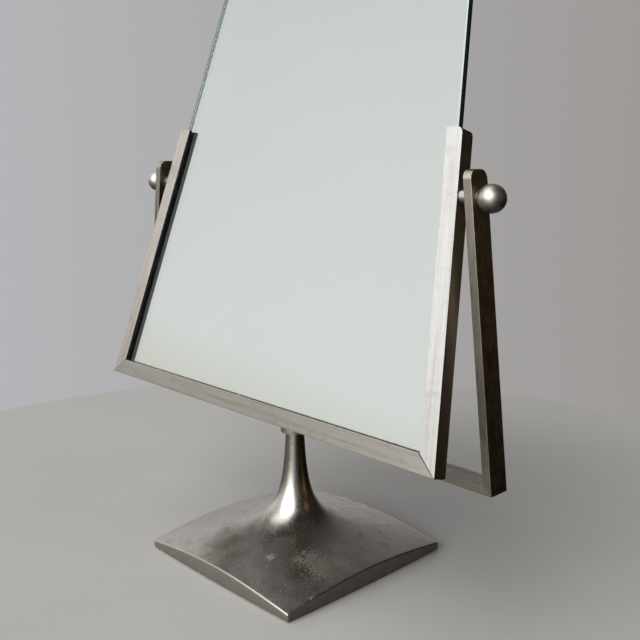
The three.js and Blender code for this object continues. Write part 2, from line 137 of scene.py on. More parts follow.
def make_world():
    world = bpy.data.worlds.new("studio")
    world.use_nodes = True
    bpy.context.scene.world = world
    tree = world.node_tree
    tree.nodes.clear()
    shader = Shader(tree)
    looking = shader.node("ShaderNodeTexCoord").outputs["Generated"]
    height = shader.part(looking, "Z")
    grey = [(z, (level, level, level)) for z, level in OVERHEAD]
    light = shader.tinted(shader.ramp(height, grey), WALL)
    light = shader.mix(shader.times(lobe(shader, looking, *SHADE), SHADE_COVERS), light, SHADE_COLOUR)
    for toward, inner, outer, colour in GLOWS:
        light = shader.add_colour(light, shader.scaled(colour, lobe(shader, looking, toward, inner, outer)))
    warm = [((z + 1) / 2, tuple(level * tint for tint in BELOW_TINT) if level < 1 else (1, 1, 1))
            for z, level in BELOW]
    light = shader.tinted(light, shader.ramp(shader.span(height, -1, 1), warm))
    light = shader.add_colour(light, shader.scaled(TABLE_SHEEN_COLOUR, lobe(shader, looking, *TABLE_SHEEN)))
    rightness = shader.span(
        shader.dot(looking, tuple(BACKDROP_ALONG)), -BACKDROP_HALF_WIDTH, BACKDROP_HALF_WIDTH,
    )
    wall = shader.mix(rightness, BACKDROP_LEFT, BACKDROP_RIGHT)
    light = shader.mix(lobe(shader, looking, *BACKDROP), light, wall)
    background = shader.node("ShaderNodeBackground", {"Color": light, "Strength": 1.0})
    output = shader.node("ShaderNodeOutputWorld")
    shader.join(background.outputs["Background"], output.inputs["Surface"])


def lobe(shader, looking, toward, inner, outer):
    """1 within the inner angle of a direction, fading to 0 at the outer angle."""
    facing = shader.dot(looking, tuple(toward))
    return shader.fade(facing, math.cos(math.radians(outer)), math.cos(math.radians(inner)))


FLOOR_RADIUS = 0.52
FLOOR_SIDES = 128
FLOOR_SHADES = (0.50, 0.49, 0.475), (0.56, 0.55, 0.535)


def make_floor():
    bm = bmesh.new()
    bmesh.ops.create_circle(bm, cap_ends=True, radius=FLOOR_RADIUS, segments=FLOOR_SIDES)
    mesh = bpy.data.meshes.new("floor")
    bm.to_mesh(mesh)
    bm.free()
    floor = bpy.data.objects.new("floor", mesh)
    bpy.context.scene.collection.objects.link(floor)
    shader = Shader.for_material("pale_floor")
    cloud = shader.noise(shader.place(), 6, detail=3)
    shader.finish(color=shader.mix(cloud, *FLOOR_SHADES), roughness=0.75)
    mesh.materials.append(shader.material)
    floor.visible_glossy = False  # polished metal shows the dim room below the horizon instead


# ---------------------------------------------------------------- shader nodes

EDGE_SAMPLES = 6
ALMOST_FLAT, WELL_ROUNDED = 0.98, 0.75  # how alike the true and the rounded normal are


class Shader:
    """A node tree, with short calls that add nodes and join them."""

    def __init__(self, tree, material=None):
        self.tree = tree
        self.material = material

    @classmethod
    def for_material(cls, name):
        material = bpy.data.materials.new(name)
        material.use_nodes = True
        material.node_tree.nodes.clear()
        return cls(material.node_tree, material)

    def join(self, output, socket):
        self.tree.links.new(output, socket)

    def feed(self, socket, value):
        """Joins an output to the socket, or sets the socket to a constant."""
        if isinstance(value, bpy.types.NodeSocket):
            self.join(value, socket)
        elif socket.type == "RGBA" and len(value) == 3:
            socket.default_value = (*value, 1)
        else:
            socket.default_value = value

    def node(self, kind, inputs=None, **settings):
        made = self.tree.nodes.new(kind)
        for name, value in settings.items():
            setattr(made, name, value)
        for key, value in (inputs or {}).items():
            self.feed(made.inputs[key], value)
        return made

    def maths(self, operation, first, second=0.5):
        made = self.node("ShaderNodeMath", {0: first, 1: second}, operation=operation)
        return made.outputs["Value"]

    def plus(self, first, second):
        return self.maths("ADD", first, second)

    def times(self, first, second):
        return self.maths("MULTIPLY", first, second)

    def dot(self, first, second):
        made = self.node("ShaderNodeVectorMath", {0: first, 1: second}, operation="DOT_PRODUCT")
        return made.outputs["Value"]

    def part(self, vector, axis):
        """One coordinate of a vector: X, Y or Z."""
        return self.node("ShaderNodeSeparateXYZ", {"Vector": vector}).outputs[axis]

    def span(self, value, low, high, to_low=0.0, to_high=1.0):
        """Value moved from one range to another and kept inside it."""
        made = self.node("ShaderNodeMapRange", {
            "Value": value, "From Min": low, "From Max": high, "To Min": to_low, "To Max": to_high,
        })
        return made.outputs["Result"]

    def fade(self, value, low, high):
        """0 below low and 1 above high, with a smooth step between them."""
        made = self.node("ShaderNodeMapRange", {"Value": value, "From Min": low, "From Max": high},
                         interpolation_type="SMOOTHSTEP")
        return made.outputs["Result"]

    def mix(self, share, first, second):
        """A colour between two colours."""
        made = self.node("ShaderNodeMix", {0: share, 6: first, 7: second}, data_type="RGBA")
        return made.outputs[2]

    def blend(self, share, first, second):
        """A number between two numbers."""
        made = self.node("ShaderNodeMix", {0: share, 2: first, 3: second}, data_type="FLOAT")
        return made.outputs[0]

    def add_colour(self, first, second):
        made = self.node("ShaderNodeMix", {0: 1.0, 6: first, 7: second}, data_type="RGBA",
                         blend_type="ADD")
        return made.outputs[2]

    def tinted(self, first, second):
        """Two colours or vectors multiplied part by part."""
        made = self.node("ShaderNodeVectorMath", {0: first, 1: second}, operation="MULTIPLY")
        return made.outputs["Vector"]

    def scaled(self, colour, amount):
        made = self.node("ShaderNodeVectorMath", {0: tuple(colour), "Scale": amount}, operation="SCALE")
        return made.outputs["Vector"]

    def ramp(self, share, stops):
        """A colour from a list of positions, from 0 to 1, and colours."""
        made = self.node("ShaderNodeValToRGB", {"Fac": share})
        elements = made.color_ramp.elements
        while len(elements) < len(stops):
            elements.new(0.5)
        for element, (position, colour) in zip(elements, stops):
            element.position = position
            element.color = (*colour, 1)
        return made.outputs["Color"]

    def place(self):
        """Where a point is on the object at rest, in metres."""
        return self.node("ShaderNodeTexCoord").outputs["Object"]

    def facing(self):
        """Which way the surface faces on the object at rest."""
        return self.node("ShaderNodeTexCoord").outputs["Normal"]

    def along_grain(self, coordinates, along, stretch):
        """Coordinates in which a pattern comes out drawn out along a direction."""
        along = along.normalized()
        side = along.orthogonal().normalized()
        axes = {"X": side, "Y": along.cross(side), "Z": along / stretch}
        parts = {name: self.dot(coordinates, tuple(axis)) for name, axis in axes.items()}
        return self.node("ShaderNodeCombineXYZ", parts).outputs["Vector"]

    def across_grain(self, along):
        """The direction on the surface square to the grain, which brushed metal spreads light in."""
        across = self.node("ShaderNodeVectorMath", {0: self.facing(), 1: tuple(along)},
                           operation="CROSS_PRODUCT")
        posed = self.node("ShaderNodeVectorTransform", {"Vector": across.outputs["Vector"]},
                          vector_type="VECTOR", convert_from="OBJECT", convert_to="WORLD")
        return posed.outputs["Vector"]

    def noise(self, coordinates, scale, detail=4.0, roughness=0.55):
        made = self.node("ShaderNodeTexNoise", {
            "Vector": coordinates, "Scale": scale, "Detail": detail, "Roughness": roughness,
        })
        return made.outputs["Fac"]

    def cells(self, coordinates, scale):
        """Distance to the nearest of a scatter of points, in cell widths."""
        made = self.node("ShaderNodeTexVoronoi", {"Vector": coordinates, "Scale": scale})
        return made.outputs["Distance"]

    def edges(self, radius):
        """1 at an edge of the shape, falling to 0 at that distance from it."""
        bevel = self.node("ShaderNodeBevel", {"Radius": radius}, samples=EDGE_SAMPLES)
        true_normal = self.node("ShaderNodeNewGeometry").outputs["Normal"]
        return self.span(self.dot(bevel.outputs["Normal"], true_normal), ALMOST_FLAT, WELL_ROUNDED)

    def bump(self, height, depth):
        """A surface normal for a pattern that is depth metres deep."""
        made = self.node("ShaderNodeBump", {"Height": height, "Distance": depth, "Strength": 1.0})
        return made.outputs["Normal"]

    def finish(self, color, roughness, metallic=0.0, normal=None, tangent=None, **constants):
        """The surface shader. Constants are set on its own sockets by name, with _ for a space."""
        surface = self.node("ShaderNodeBsdfPrincipled", {
            "Base Color": color, "Roughness": roughness, "Metallic": metallic,
        })
        if normal is not None:
            self.join(normal, surface.inputs["Normal"])
        if tangent is not None:
            self.join(tangent, surface.inputs["Tangent"])
        for name, value in constants.items():
            self.feed(surface.inputs[name.replace("_", " ")], value)
        output = self.node("ShaderNodeOutputMaterial")
        self.join(surface.outputs["BSDF"], output.inputs["Surface"])
        return output


# ---------------------------------------------------------------- materials

BRIGHT_NICKEL = (0.60, 0.57, 0.52)
# Whiter plate for the right rail: painted light, making that rail lighter as it is lit.
LIT_WHITE_NICKEL = (0.645, 0.64, 0.625)
GREY_NICKEL = (0.49, 0.46, 0.405)
# Brown tarnish; also the colour of the painted shade on the brushed bars' sides.
BROWN_TARNISH_AND_SHADE = (0.23, 0.185, 0.125)
PIT_BROWN = (0.07, 0.048, 0.03)
RUBBED_NICKEL = (0.78, 0.75, 0.70)
CREAM_FLAKE = (0.50, 0.46, 0.39)
# Dull brown-grey of the soiled low edge of the base, which also stands in, as painted reflection, for the
# floor that the metal edge would reflect.
GRIME_AND_FLOOR_REFLECTION = (0.22, 0.195, 0.165)

# Marks on top of the base: X, Y and radius in millimetres.
FLAKES = [(56, 17, 4.5), (48, 8, 2.6), (71, 8, 2.8), (60, 5, 2.2), (51, 44, 2.4), (60, -29, 8), (50, -31, 6),
          (65, -15, 6), (54, -6, 4), (44, -37, 3), (79, -57, 1.2), (28, -50, 1.8), (-20, -70, 1.5)]
# Darker brown patches on top of the base, in front of the stem and out towards the front corner.
DARK_PATCHES = [(33, -27, 9), (43, -36, 7), (54, -46, 6), (-12, -59, 9), (-28, -46, 6), (3, -66, 7)]

# How many features of each pattern go in a metre, about.
CLOUDS, BLOTCHES, MOTTLES, FINE_GRAIN = 24, 110, 700, 2600
PITS, PITTED_AREAS, SPECKS, SPECKED_AREAS = 640, 55, 300, 40
BRUSH_MARKS, WIDE_BRUSH_MARKS, RAGGED_EDGES = 900, 420, 620

BRUSH_MARK_STRETCH = 40  # how much longer than wide a brush mark is
DULL_LEVEL = 0.78  # how bright dulled plate is, against clean plate
MOST_DULLED = 0.5
WORN_EDGE = 0.9 * MM
GRIME_AND_REFLECTION_HEIGHTS = (16 * MM, 12 * MM)  # above the first there is none, and below the second it is full
ROUGHNESS_OF_PITS, ROUGHNESS_OF_WORN_EDGES, ROUGHNESS_OF_MARKS = 0.75, 0.26, 0.5


def nickel(name, roughness, metal=BRIGHT_NICKEL, grain=None, tarnish_and_shade=0.4, on_base=False,
           depth=0.03 * MM):
    """Worn nickel plate: clouded, pitted, and rubbed brighter along its edges.

    Grain is the direction that it was brushed in, if any. Brushed bars get painted shade on both
    sides, in the brown tarnish colour, standing for the dark room those sides reflect. The base has
    darker brown patches, flaked spots, and a dull low edge that is dirty and also stands in for the
    floor that the edge would reflect.
    """
    shader = Shader.for_material(name)
    place = shader.place()
    cloud = shader.noise(place, CLOUDS)
    blotch = shader.noise(place, BLOTCHES, detail=6, roughness=0.62)
    mottle = shader.noise(place, MOTTLES, detail=5, roughness=0.6)
    fine = shader.noise(place, FINE_GRAIN, detail=2)

    dull_metal = tuple(DULL_LEVEL * level for level in metal)
    dullness = shader.fade(shader.blend(0.5, cloud, blotch), 0.44, 0.64)
    colour = shader.mix(shader.times(dullness, MOST_DULLED), metal, dull_metal)
    brown = shader.times(shader.fade(blotch, 0.56, 0.76), tarnish_and_shade)
    colour = shader.mix(brown, colour, BROWN_TARNISH_AND_SHADE)
    colour = shader.mix(shader.span(mottle, 0.40, 0.70, 0.0, 0.3), colour, dull_metal)

    pitted = shader.fade(shader.noise(place, PITTED_AREAS, detail=3), 0.52, 0.66)
    specked = shader.fade(shader.noise(place, SPECKED_AREAS, detail=2), 0.42, 0.56)
    small_pit = shader.times(shader.span(shader.cells(place, PITS), 0.19, 0.11), pitted)
    speck = shader.times(shader.span(shader.cells(place, SPECKS), 0.13, 0.07), specked)
    pit = shader.maths("MAXIMUM", small_pit, speck)
    colour = shader.mix(shader.times(pit, 0.85), colour, PIT_BROWN)
    worn = shader.times(shader.edges(WORN_EDGE), shader.span(blotch, 0.30, 0.60, 1.0, 0.45))
    colour = shader.mix(worn, colour, RUBBED_NICKEL)

    rough = shader.plus(roughness, shader.span(blotch, 0.3, 0.7, -0.05, 0.08))
    rough = shader.plus(rough, shader.span(mottle, 0.3, 0.7, -0.03, 0.05))
    height = shader.plus(shader.times(mottle, 0.30), shader.times(fine, 0.10))
    brushed = {}
    if grain is not None:
        drawn = shader.along_grain(place, grain, BRUSH_MARK_STRETCH)
        streak = shader.noise(drawn, BRUSH_MARKS, detail=4, roughness=0.65)
        wide_streak = shader.noise(drawn, WIDE_BRUSH_MARKS, detail=3)
        colour = shader.mix(shader.span(streak, 0.35, 0.65, 0.0, 0.45), colour, dull_metal)
        colour = shader.mix(shader.span(wide_streak, 0.5, 0.75, 0.0, tarnish_and_shade), colour, BROWN_TARNISH_AND_SHADE)
        sideways = shader.maths("ABSOLUTE", shader.part(shader.facing(), "X"))
        # Painted shade: faces turned to either side are darkened towards brown, for the dark room that they
        # reflect.
        painted_side_shade = shader.times(shader.fade(sideways, 0.75, 0.95), 0.9)
        colour = shader.mix(painted_side_shade, colour, BROWN_TARNISH_AND_SHADE)
        rough = shader.plus(rough, shader.span(streak, 0.3, 0.7, -0.06, 0.06))
        height = shader.plus(height, shader.times(streak, 0.35))
        brushed = {"tangent": shader.across_grain(grain), "Anisotropic": 0.55}

    if on_base:
        colour, rough = base_marks(shader, place, blotch, colour, rough)
    rough = shader.blend(pit, rough, ROUGHNESS_OF_PITS)
    rough = shader.blend(worn, rough, ROUGHNESS_OF_WORN_EDGES)
    height = shader.maths("SUBTRACT", height, shader.times(pit, 0.6))
    metallic = shader.blend(pit, 1.0, 0.3)
    # Painted reflection and soiling: the low upright edge of the base turns dull brown-grey.
    if on_base:
        dirt_and_floor_reflection = grime_and_floor_reflection(shader, place, blotch)
        colour = shader.mix(dirt_and_floor_reflection, colour, GRIME_AND_FLOOR_REFLECTION)
        rough = shader.blend(dirt_and_floor_reflection, rough, ROUGHNESS_OF_MARKS)
        metallic = shader.blend(dirt_and_floor_reflection, metallic, 0.5)
    shader.finish(color=colour, roughness=rough, metallic=metallic, normal=shader.bump(height, depth),
                  **brushed)
    return shader.material


def base_marks(shader, place, blotch, colour, rough):
    """The base's colour and roughness with its darker brown patches and flaked spots."""
    darkening = shader.times(spots(shader, place, DARK_PATCHES, 2.2), shader.span(blotch, 0.3, 0.6, 0.5, 1))
    colour = shader.mix(shader.times(darkening, 0.62), colour, BROWN_TARNISH_AND_SHADE)
    ragged = shader.noise(place, RAGGED_EDGES, detail=5, roughness=0.66)
    reach = shader.times(spots(shader, place, FLAKES, 3.2), 0.32)
    flake = shader.fade(shader.plus(reach, ragged), 0.68, 0.71)
    colour = shader.mix(shader.times(flake, 0.8), colour, CREAM_FLAKE)
    return colour, shader.blend(flake, rough, ROUGHNESS_OF_MARKS)


def grime_and_floor_reflection(shader, place, blotch):
    """How much the low upright edge of the base is soiled; the same dull mark also stands in, as painted
    reflection, for the floor that this metal edge would reflect.
    """
    low = shader.fade(shader.part(place, "Z"), *GRIME_AND_REFLECTION_HEIGHTS)
    upright = shader.fade(shader.part(shader.facing(), "Z"), 0.45, 0.15)
    return shader.times(shader.times(low, upright), shader.span(blotch, 0.3, 0.6, 0.6, 0.9))


def spots(shader, place, marks, spread):
    """1 in the middle of each mark, falling to 0 at its radius times spread."""
    flat = shader.tinted(place, (1, 1, 0))
    reach = 0.0
    for x, y, radius in marks:
        away = shader.node("ShaderNodeVectorMath", {0: flat, 1: (x * MM, y * MM, 0)}, operation="DISTANCE")
        near = shader.span(away.outputs["Value"], 0, spread * radius * MM, 1, 0)
        reach = shader.maths("MAXIMUM", reach, near)
    return reach


def plain_steel(name, color, roughness):
    """Dull turned steel, unevenly oxidised."""
    shader = Shader.for_material(name)
    place = shader.place()
    blotch = shader.noise(place, 160, detail=5)
    fine = shader.noise(place, 1500, detail=3)
    oxidised = tuple(0.6 * level for level in color)
    tint = shader.mix(shader.fade(blotch, 0.4, 0.7), color, oxidised)
    rough = shader.plus(roughness, shader.span(blotch, 0.3, 0.7, -0.05, 0.15))
    shader.finish(color=tint, roughness=rough, metallic=1.0, normal=shader.bump(fine, 0.03 * MM))
    return shader.material


def matte(name, color, scale, depth, roughness=0.9):
    """A dull material with a grain: scale is about how many grains go in a metre."""
    shader = Shader.for_material(name)
    place = shader.place()
    grain = shader.noise(place, scale, detail=4)
    darker = tuple(0.55 * level for level in color)
    tint = shader.mix(grain, color, darker)
    rough = shader.plus(roughness, shader.span(grain, 0.3, 0.7, -0.08, 0.08))
    shader.finish(color=tint, roughness=rough, normal=shader.bump(grain, depth))
    return shader.material


GLASS_IOR = 1.52
GLASS_TINT, GLASS_DENSITY = (0.10, 0.62, 0.52), 7.0
SILVER_SHADES = (0.87, 0.895, 0.88), (0.90, 0.925, 0.91)
EDGE_SHADES = (0.008, 0.036, 0.030), (0.020, 0.066, 0.056)
ARRIS_SHADES = (0.72, 0.88, 0.86), (0.90, 0.98, 0.96)


def clear_glass():
    """The polished glass, with faint smears, which tints the light on its way through."""
    shader = Shader.for_material("plate_glass")
    smear = shader.noise(shader.place(), 14, detail=5, roughness=0.65)
    output = shader.finish(
        color=(1, 1, 1), roughness=shader.span(smear, 0.45, 0.75, 0.0, 0.012),
        Transmission_Weight=1.0, IOR=GLASS_IOR,
    )
    depth = shader.node("ShaderNodeVolumeAbsorption", {"Color": GLASS_TINT, "Density": GLASS_DENSITY})
    shader.join(depth.outputs["Volume"], output.inputs["Volume"])
    return shader.material


def silvering():
    """The silvered back of the glass."""
    shader = Shader.for_material("silvering")
    haze = shader.noise(shader.place(), 9, detail=4)
    shader.finish(color=shader.mix(haze, *SILVER_SHADES), roughness=0.012, metallic=1.0)
    return shader.material


def glass_edge():
    """The sides of the glass, ground and polished, where its body colour is deep."""
    shader = Shader.for_material("glass_edge")
    along = shader.noise(shader.place(), 60, detail=4)
    shader.finish(
        color=shader.mix(along, *EDGE_SHADES), roughness=shader.span(along, 0.3, 0.7, 0.10, 0.2),
    )
    return shader.material


def ground_arris():
    """The narrow ground bevel round the glass."""
    shader = Shader.for_material("ground_arris")
    grit = shader.noise(shader.place(), 1500, detail=3)
    shader.finish(
        color=shader.mix(grit, *ARRIS_SHADES), roughness=0.45,
        normal=shader.bump(grit, 0.02 * MM),
    )
    return shader.material


# ---------------------------------------------------------------- shapes

LONGEST_CUT = 0.48  # how much of a side a rounded corner may take
LEAST_MITRE = 0.3  # keeps a very sharp corner from reaching too far
SHARP_ANGLE = math.radians(38)


def rounded(points, radius, steps=4):
    """A closed outline with each corner turned into an arc. Radius is one value or one per point."""
    radii = radius if isinstance(radius, (list, tuple)) else [radius] * len(points)
    result = []
    for i, corner in enumerate(points):
        if not radii[i]:
            result.append(corner)
            continue
        toward_last = points[i - 1] - corner
        toward_next = points[(i + 1) % len(points)] - corner
        half = toward_last.angle(toward_next) / 2
        room = LONGEST_CUT * min(toward_last.length, toward_next.length)
        cut = min(radii[i] / math.tan(half), room)
        bisector = (toward_last.normalized() + toward_next.normalized()).normalized()
        centre = corner + bisector * (cut / math.cos(half))
        start = corner + toward_last.normalized() * cut - centre
        end = corner + toward_next.normalized() * cut - centre
        for step in range(steps + 1):
            share = step / steps
            sweep = start.angle(end)
            weight_start = math.sin((1 - share) * sweep) / math.sin(sweep)
            weight_end = math.sin(share * sweep) / math.sin(sweep)
            result.append(centre + start * weight_start + end * weight_end)
    return result


def outward(points, i):
    """The outward normal of an anticlockwise outline at one of its points, and its mitre stretch."""
    before = (points[i] - points[i - 1]).normalized()
    after = (points[(i + 1) % len(points)] - points[i]).normalized()
    along = (before + after).normalized()
    stretch = 1 / max(LEAST_MITRE, math.sqrt((1 + before.dot(after)) / 2))
    return Vector((along.y, -along.x)), stretch


def inset(points, distance):
    """An anticlockwise outline drawn in by a distance."""
    moved = []
    for i, point in enumerate(points):
        normal, stretch = outward(points, i)
        moved.append(point - normal * distance * stretch)
    return moved


def loft(bm, rings, closed=False):
    """Joins rings of as many points each with quads, and the last ring to the first if closed."""
    made = [[bm.verts.new(point) for point in ring] for ring in rings]
    pairs = list(zip(made, made[1:]))
    if closed:
        pairs.append((made[-1], made[0]))
    for lower, upper in pairs:
        for i, corner in enumerate(lower):
            j = (i + 1) % len(lower)
            bm.faces.new((corner, lower[j], upper[j], upper[i]))
    return made


def turned(bm, profile, sides):
    """A [radius, height] profile turned about Z. It closes on itself, or starts and ends on the axis."""
    def ring(radius, height):
        return [
            Vector((radius * math.cos(a), radius * math.sin(a), height))
            for a in (2 * math.pi * i / sides for i in range(sides))
        ]
    on_axis = profile[0][0] == 0
    inner = profile[1:-1] if on_axis else profile
    rings = loft(bm, [ring(r, z) for r, z in inner], closed=not on_axis)
    if on_axis:
        for pole, edge in ((profile[0], rings[0]), (profile[-1], rings[-1])):
            tip = bm.verts.new((0, 0, pole[1]))
            for i, corner in enumerate(edge):
                bm.faces.new((tip, corner, edge[(i + 1) % sides]))


def thick_panel(bm, outline, near, far, edge, steps):
    """An outline in X and Z given depth from near to far along Y, with its rims rounded."""
    rings = []
    for y, sign in ((near, 1), (far, -1)):
        turn = [90 * step / steps for step in range(steps + 1)]
        for angle in (turn if sign > 0 else reversed(turn)):
            a = math.radians(angle)
            level = y + sign * edge * (1 - math.sin(a))
            rings.append([Vector((p.x, level, p.y)) for p in inset(outline, edge * (1 - math.cos(a)))])
    # from the near face outwards, along the side and back in on the far face
    made = loft(bm, rings[steps::-1] + rings[:steps:-1])
    bm.faces.new(made[0])
    bm.faces.new(list(reversed(made[-1])))


def in_mirror(point):
    """A point as the untilted mirror has it, from the pivot."""
    return MIRROR_PLACE.inverted() @ point


def mirror_box(node):
    """Lowest and highest corners of a CAD node as the untilted mirror has them, from the pivot."""
    points = [in_mirror(v.co) for v in frame["nodes"][node].data.vertices]
    low = Vector(min(p[i] for p in points) for i in range(3))
    high = Vector(max(p[i] for p in points) for i in range(3))
    return low, high


def add_piece(name, bm, body, material, nodes, place=Matrix.Identity(4)):
    """Makes the object, puts its material on, and ties it to its body and CAD nodes."""
    bmesh.ops.recalc_face_normals(bm, faces=bm.faces)
    mesh = bpy.data.meshes.new(name)
    bm.to_mesh(mesh)
    bm.free()
    mesh.transform(place)
    for polygon in mesh.polygons:
        polygon.use_smooth = True
    mesh.set_sharp_from_angle(angle=SHARP_ANGLE)
    piece = bpy.data.objects.new(name, mesh)
    bpy.context.scene.collection.objects.link(piece)
    mesh.materials.append(material)
    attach(piece, body)
    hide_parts(*nodes)
    return piece


def flatten_faces(piece, keep_sharp):
    """Shades flat faces as flat, so that only the rounding between them is curved."""
    flats = piece.modifiers.new("flat_faces", "WEIGHTED_NORMAL")
    flats.keep_sharp = keep_sharp


# ---------------------------------------------------------------- base and stem

BASE_SIDE_STEPS = 48
BASE_CORNER_RADIUS = 1.4 * MM
BASE_RIM_RADIUS = 1.3 * MM
BASE_FOOT_RADIUS = 0.5 * MM
HALFWAY_ROUND = 0.29  # how far in and up the middle of a rounded edge lies, in radii
STEM_TOP_EDGE = 0.5 * MM
RECESS_EDGE = 1 * MM
RECESS_CEILING_DROP = 0.4 * MM
FLARE_STEPS = 90
RIM_STEPS = 7

BASE_CORNER_DISTANCE = BASE_HALF * math.sqrt(2)
FLARE_SLOPE = (
    FLARE_RISE + FLARE_REACH / (BASE_CORNER_DISTANCE - FLARE_CORE_RADIUS) - CORNER_EDGE_HEIGHT
) / BASE_CORNER_DISTANCE


def flare_height(radius):
    """How high the top of the casting is at a radius."""
    return FLARE_RISE - FLARE_SLOPE * radius + FLARE_REACH / (radius - FLARE_CORE_RADIUS)


def flare_fall(radius):
    """How steeply the flare falls away outwards at a radius."""
    return FLARE_SLOPE + FLARE_REACH / (radius - FLARE_CORE_RADIUS) ** 2


def stem_top_radius():
    """The radius at which the flare is as high as the stem."""
    linear = STEM_HEIGHT - FLARE_RISE - FLARE_SLOPE * FLARE_CORE_RADIUS
    constant = -(STEM_HEIGHT - FLARE_RISE) * FLARE_CORE_RADIUS - FLARE_REACH
    return (-linear + math.sqrt(linear ** 2 - 4 * FLARE_SLOPE * constant)) / (2 * FLARE_SLOPE)


def base_outline():
    """The square with slightly convex sides, anticlockwise, with its corners just taken off."""
    points, radii = [], []
    for quarter in range(4):
        turn = Matrix.Rotation(quarter * math.pi / 2, 2)
        for step in range(BASE_SIDE_STEPS):
            x = BASE_HALF * (2 * step / BASE_SIDE_STEPS - 1)
            y = -BASE_HALF - BASE_SIDE_BULGE * (1 - (x / BASE_HALF) ** 2)
            points.append(turn @ Vector((x, y)))
            radii.append(BASE_CORNER_RADIUS if step == 0 else 0)
    return rounded(points, radii, steps=6)


def make_base(material):
    """The casting, from its top outwards over the flare and rim, and back in through the recess."""
    low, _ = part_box("base_casting")
    outline = base_outline()
    normals = [outward(outline, i)[0] for i in range(len(outline))]
    rim = [[] for _ in range(RIM_STEPS + 1)]
    for point, normal in zip(outline, normals):
        start = point - normal * BASE_RIM_RADIUS
        fall = math.atan(flare_fall(start.length) * start.normalized().dot(normal))
        shoulder = point - normal * BASE_RIM_RADIUS * (1 - math.sin(fall))
        centre_height = flare_height(shoulder.length) - BASE_RIM_RADIUS * math.cos(fall)
        for step, ring in enumerate(rim):
            angle = fall + (math.pi / 2 - fall) * step / RIM_STEPS
            place = point - normal * BASE_RIM_RADIUS * (1 - math.sin(angle))
            ring.append(Vector((*place, centre_height + BASE_RIM_RADIUS * math.cos(angle))))
    shoulders = [point.xy for point in rim[0]]
    top_radius = stem_top_radius()
    neck = top_radius - FLARE_CORE_RADIUS
    rings = []
    for step in range(FLARE_STEPS):
        ring = []
        for shoulder in shoulders:
            reach = shoulder.length - FLARE_CORE_RADIUS
            radius = FLARE_CORE_RADIUS + neck * (reach / neck) ** (step / FLARE_STEPS)
            ring.append(Vector((*(shoulder.normalized() * radius), flare_height(radius))))
        rings.append(ring)
    rings += rim

    def circle(radius, height):
        return [Vector((*(s.normalized() * radius), height)) for s in shoulders]

    def edge_ring(distance, height):
        return [Vector((*(p - n * distance), height)) for p, n in zip(outline, normals)]

    foot = BASE_FOOT_RADIUS
    rings += [
        edge_ring(0, foot),
        edge_ring(HALFWAY_ROUND * foot, HALFWAY_ROUND * foot),
        edge_ring(foot, 0),
        circle(RECESS_RADIUS + RECESS_EDGE, 0),
        circle(RECESS_RADIUS, RECESS_EDGE),
        circle(RECESS_CEILING_RADIUS + RECESS_EDGE, RECESS_CEILING - RECESS_CEILING_DROP),
        circle(RECESS_CEILING_RADIUS - RECESS_EDGE, RECESS_CEILING),
        circle(SCREW_HOLE_RADIUS, RECESS_CEILING),
        circle(SCREW_HOLE_RADIUS, STEM_HEIGHT),
        circle(top_radius - STEM_TOP_EDGE, STEM_HEIGHT),
    ]
    bm = bmesh.new()
    loft(bm, rings, closed=True)
    add_piece("base_casting_fine", bm, "stand", material, ["base_casting"],
              Matrix.Translation((0, 0, low.z)))


# ---------------------------------------------------------------- pieces refined from CAD nodes

MITRE_EDGE = 0.05 * MM
CLEAR_EDGE = math.radians(40)  # edges sharper than this are rounded
FLAT_ANGLE = math.radians(0.5)  # faces that meet at less than this are one face
WELD_DISTANCE = 0.002 * MM
YOKE_CORNER_OUT = 60 * MM
YOKE_CORNER_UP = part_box("yoke_crossbar")[1].z + 1 * MM
SPOT_FACE_RADIUS = 7 * MM
FRAME_CORNER_DOWN = -mirror_box("rail_bottom")[1].z - 1 * MM
GROOVE_HALF = (mirror_box("mirror_backing")[1].y - mirror_box("mirror_glass")[0].y) / 2 + 0.3 * MM
BRAZED = 0.17 * MM  # how far each bar is drawn into a brazed corner
OPEN_MITRE = 0.7 * MM  # how far the worn mitre is open at its inner end
OPEN_MITRE_DEPTH = 3 * MM


def refine(node, body, material, edge, mitre=None, draw_in=None):
    """A copy of a CAD node as flat faces with rounded edges.

    mitre gives a name to each end that a point belongs to, and the edges within an end stay nearly
    sharp. draw_in moves points, to close a brazed joint.
    """
    bm = bmesh.new()
    bm.from_mesh(frame["nodes"][node].data)
    bmesh.ops.remove_doubles(bm, verts=bm.verts, dist=WELD_DISTANCE)
    bmesh.ops.dissolve_limit(bm, angle_limit=FLAT_ANGLE, verts=bm.verts, edges=bm.edges)
    weight = bm.edges.layers.float.new("bevel_weight_edge")
    for e in bm.edges:
        if len(e.link_faces) == 2 and e.calc_face_angle(0) > CLEAR_EDGE:
            ends = [mitre(v.co) if mitre else None for v in e.verts]
            e[weight] = MITRE_EDGE / edge if ends[0] and ends[0] == ends[1] else 1.0
    if draw_in:
        for v in bm.verts:
            v.co += draw_in(v.co)
    piece = add_piece(f"{node}_fine", bm, body, material, [node])
    for e in piece.data.edges:
        e.use_edge_sharp = False
    rounding = piece.modifiers.new("rounded_edges", "BEVEL")
    rounding.limit_method = "WEIGHT"
    rounding.width = edge
    rounding.segments = 3
    rounding.use_clamp_overlap = True
    flatten_faces(piece, keep_sharp=False)
    return piece


def end_of(point):
    """Which end of the object a point is nearer to."""
    return "right" if point.x > 0 else "left"


def frame_mitre(point):
    """Which bottom corner of the mirror's frame a point is at."""
    return end_of(point) if -in_mirror(point).z > FRAME_CORNER_DOWN else None


def yoke_mitre(point):
    """Which bottom corner of the yoke a point is at, or the spot face that a bush sits in."""
    if abs(point.x) <= YOKE_CORNER_OUT:
        return None
    if point.z < YOKE_CORNER_UP:
        return end_of(point)
    return "seat" if (point - PIVOT).yz.length < SPOT_FACE_RADIUS else None


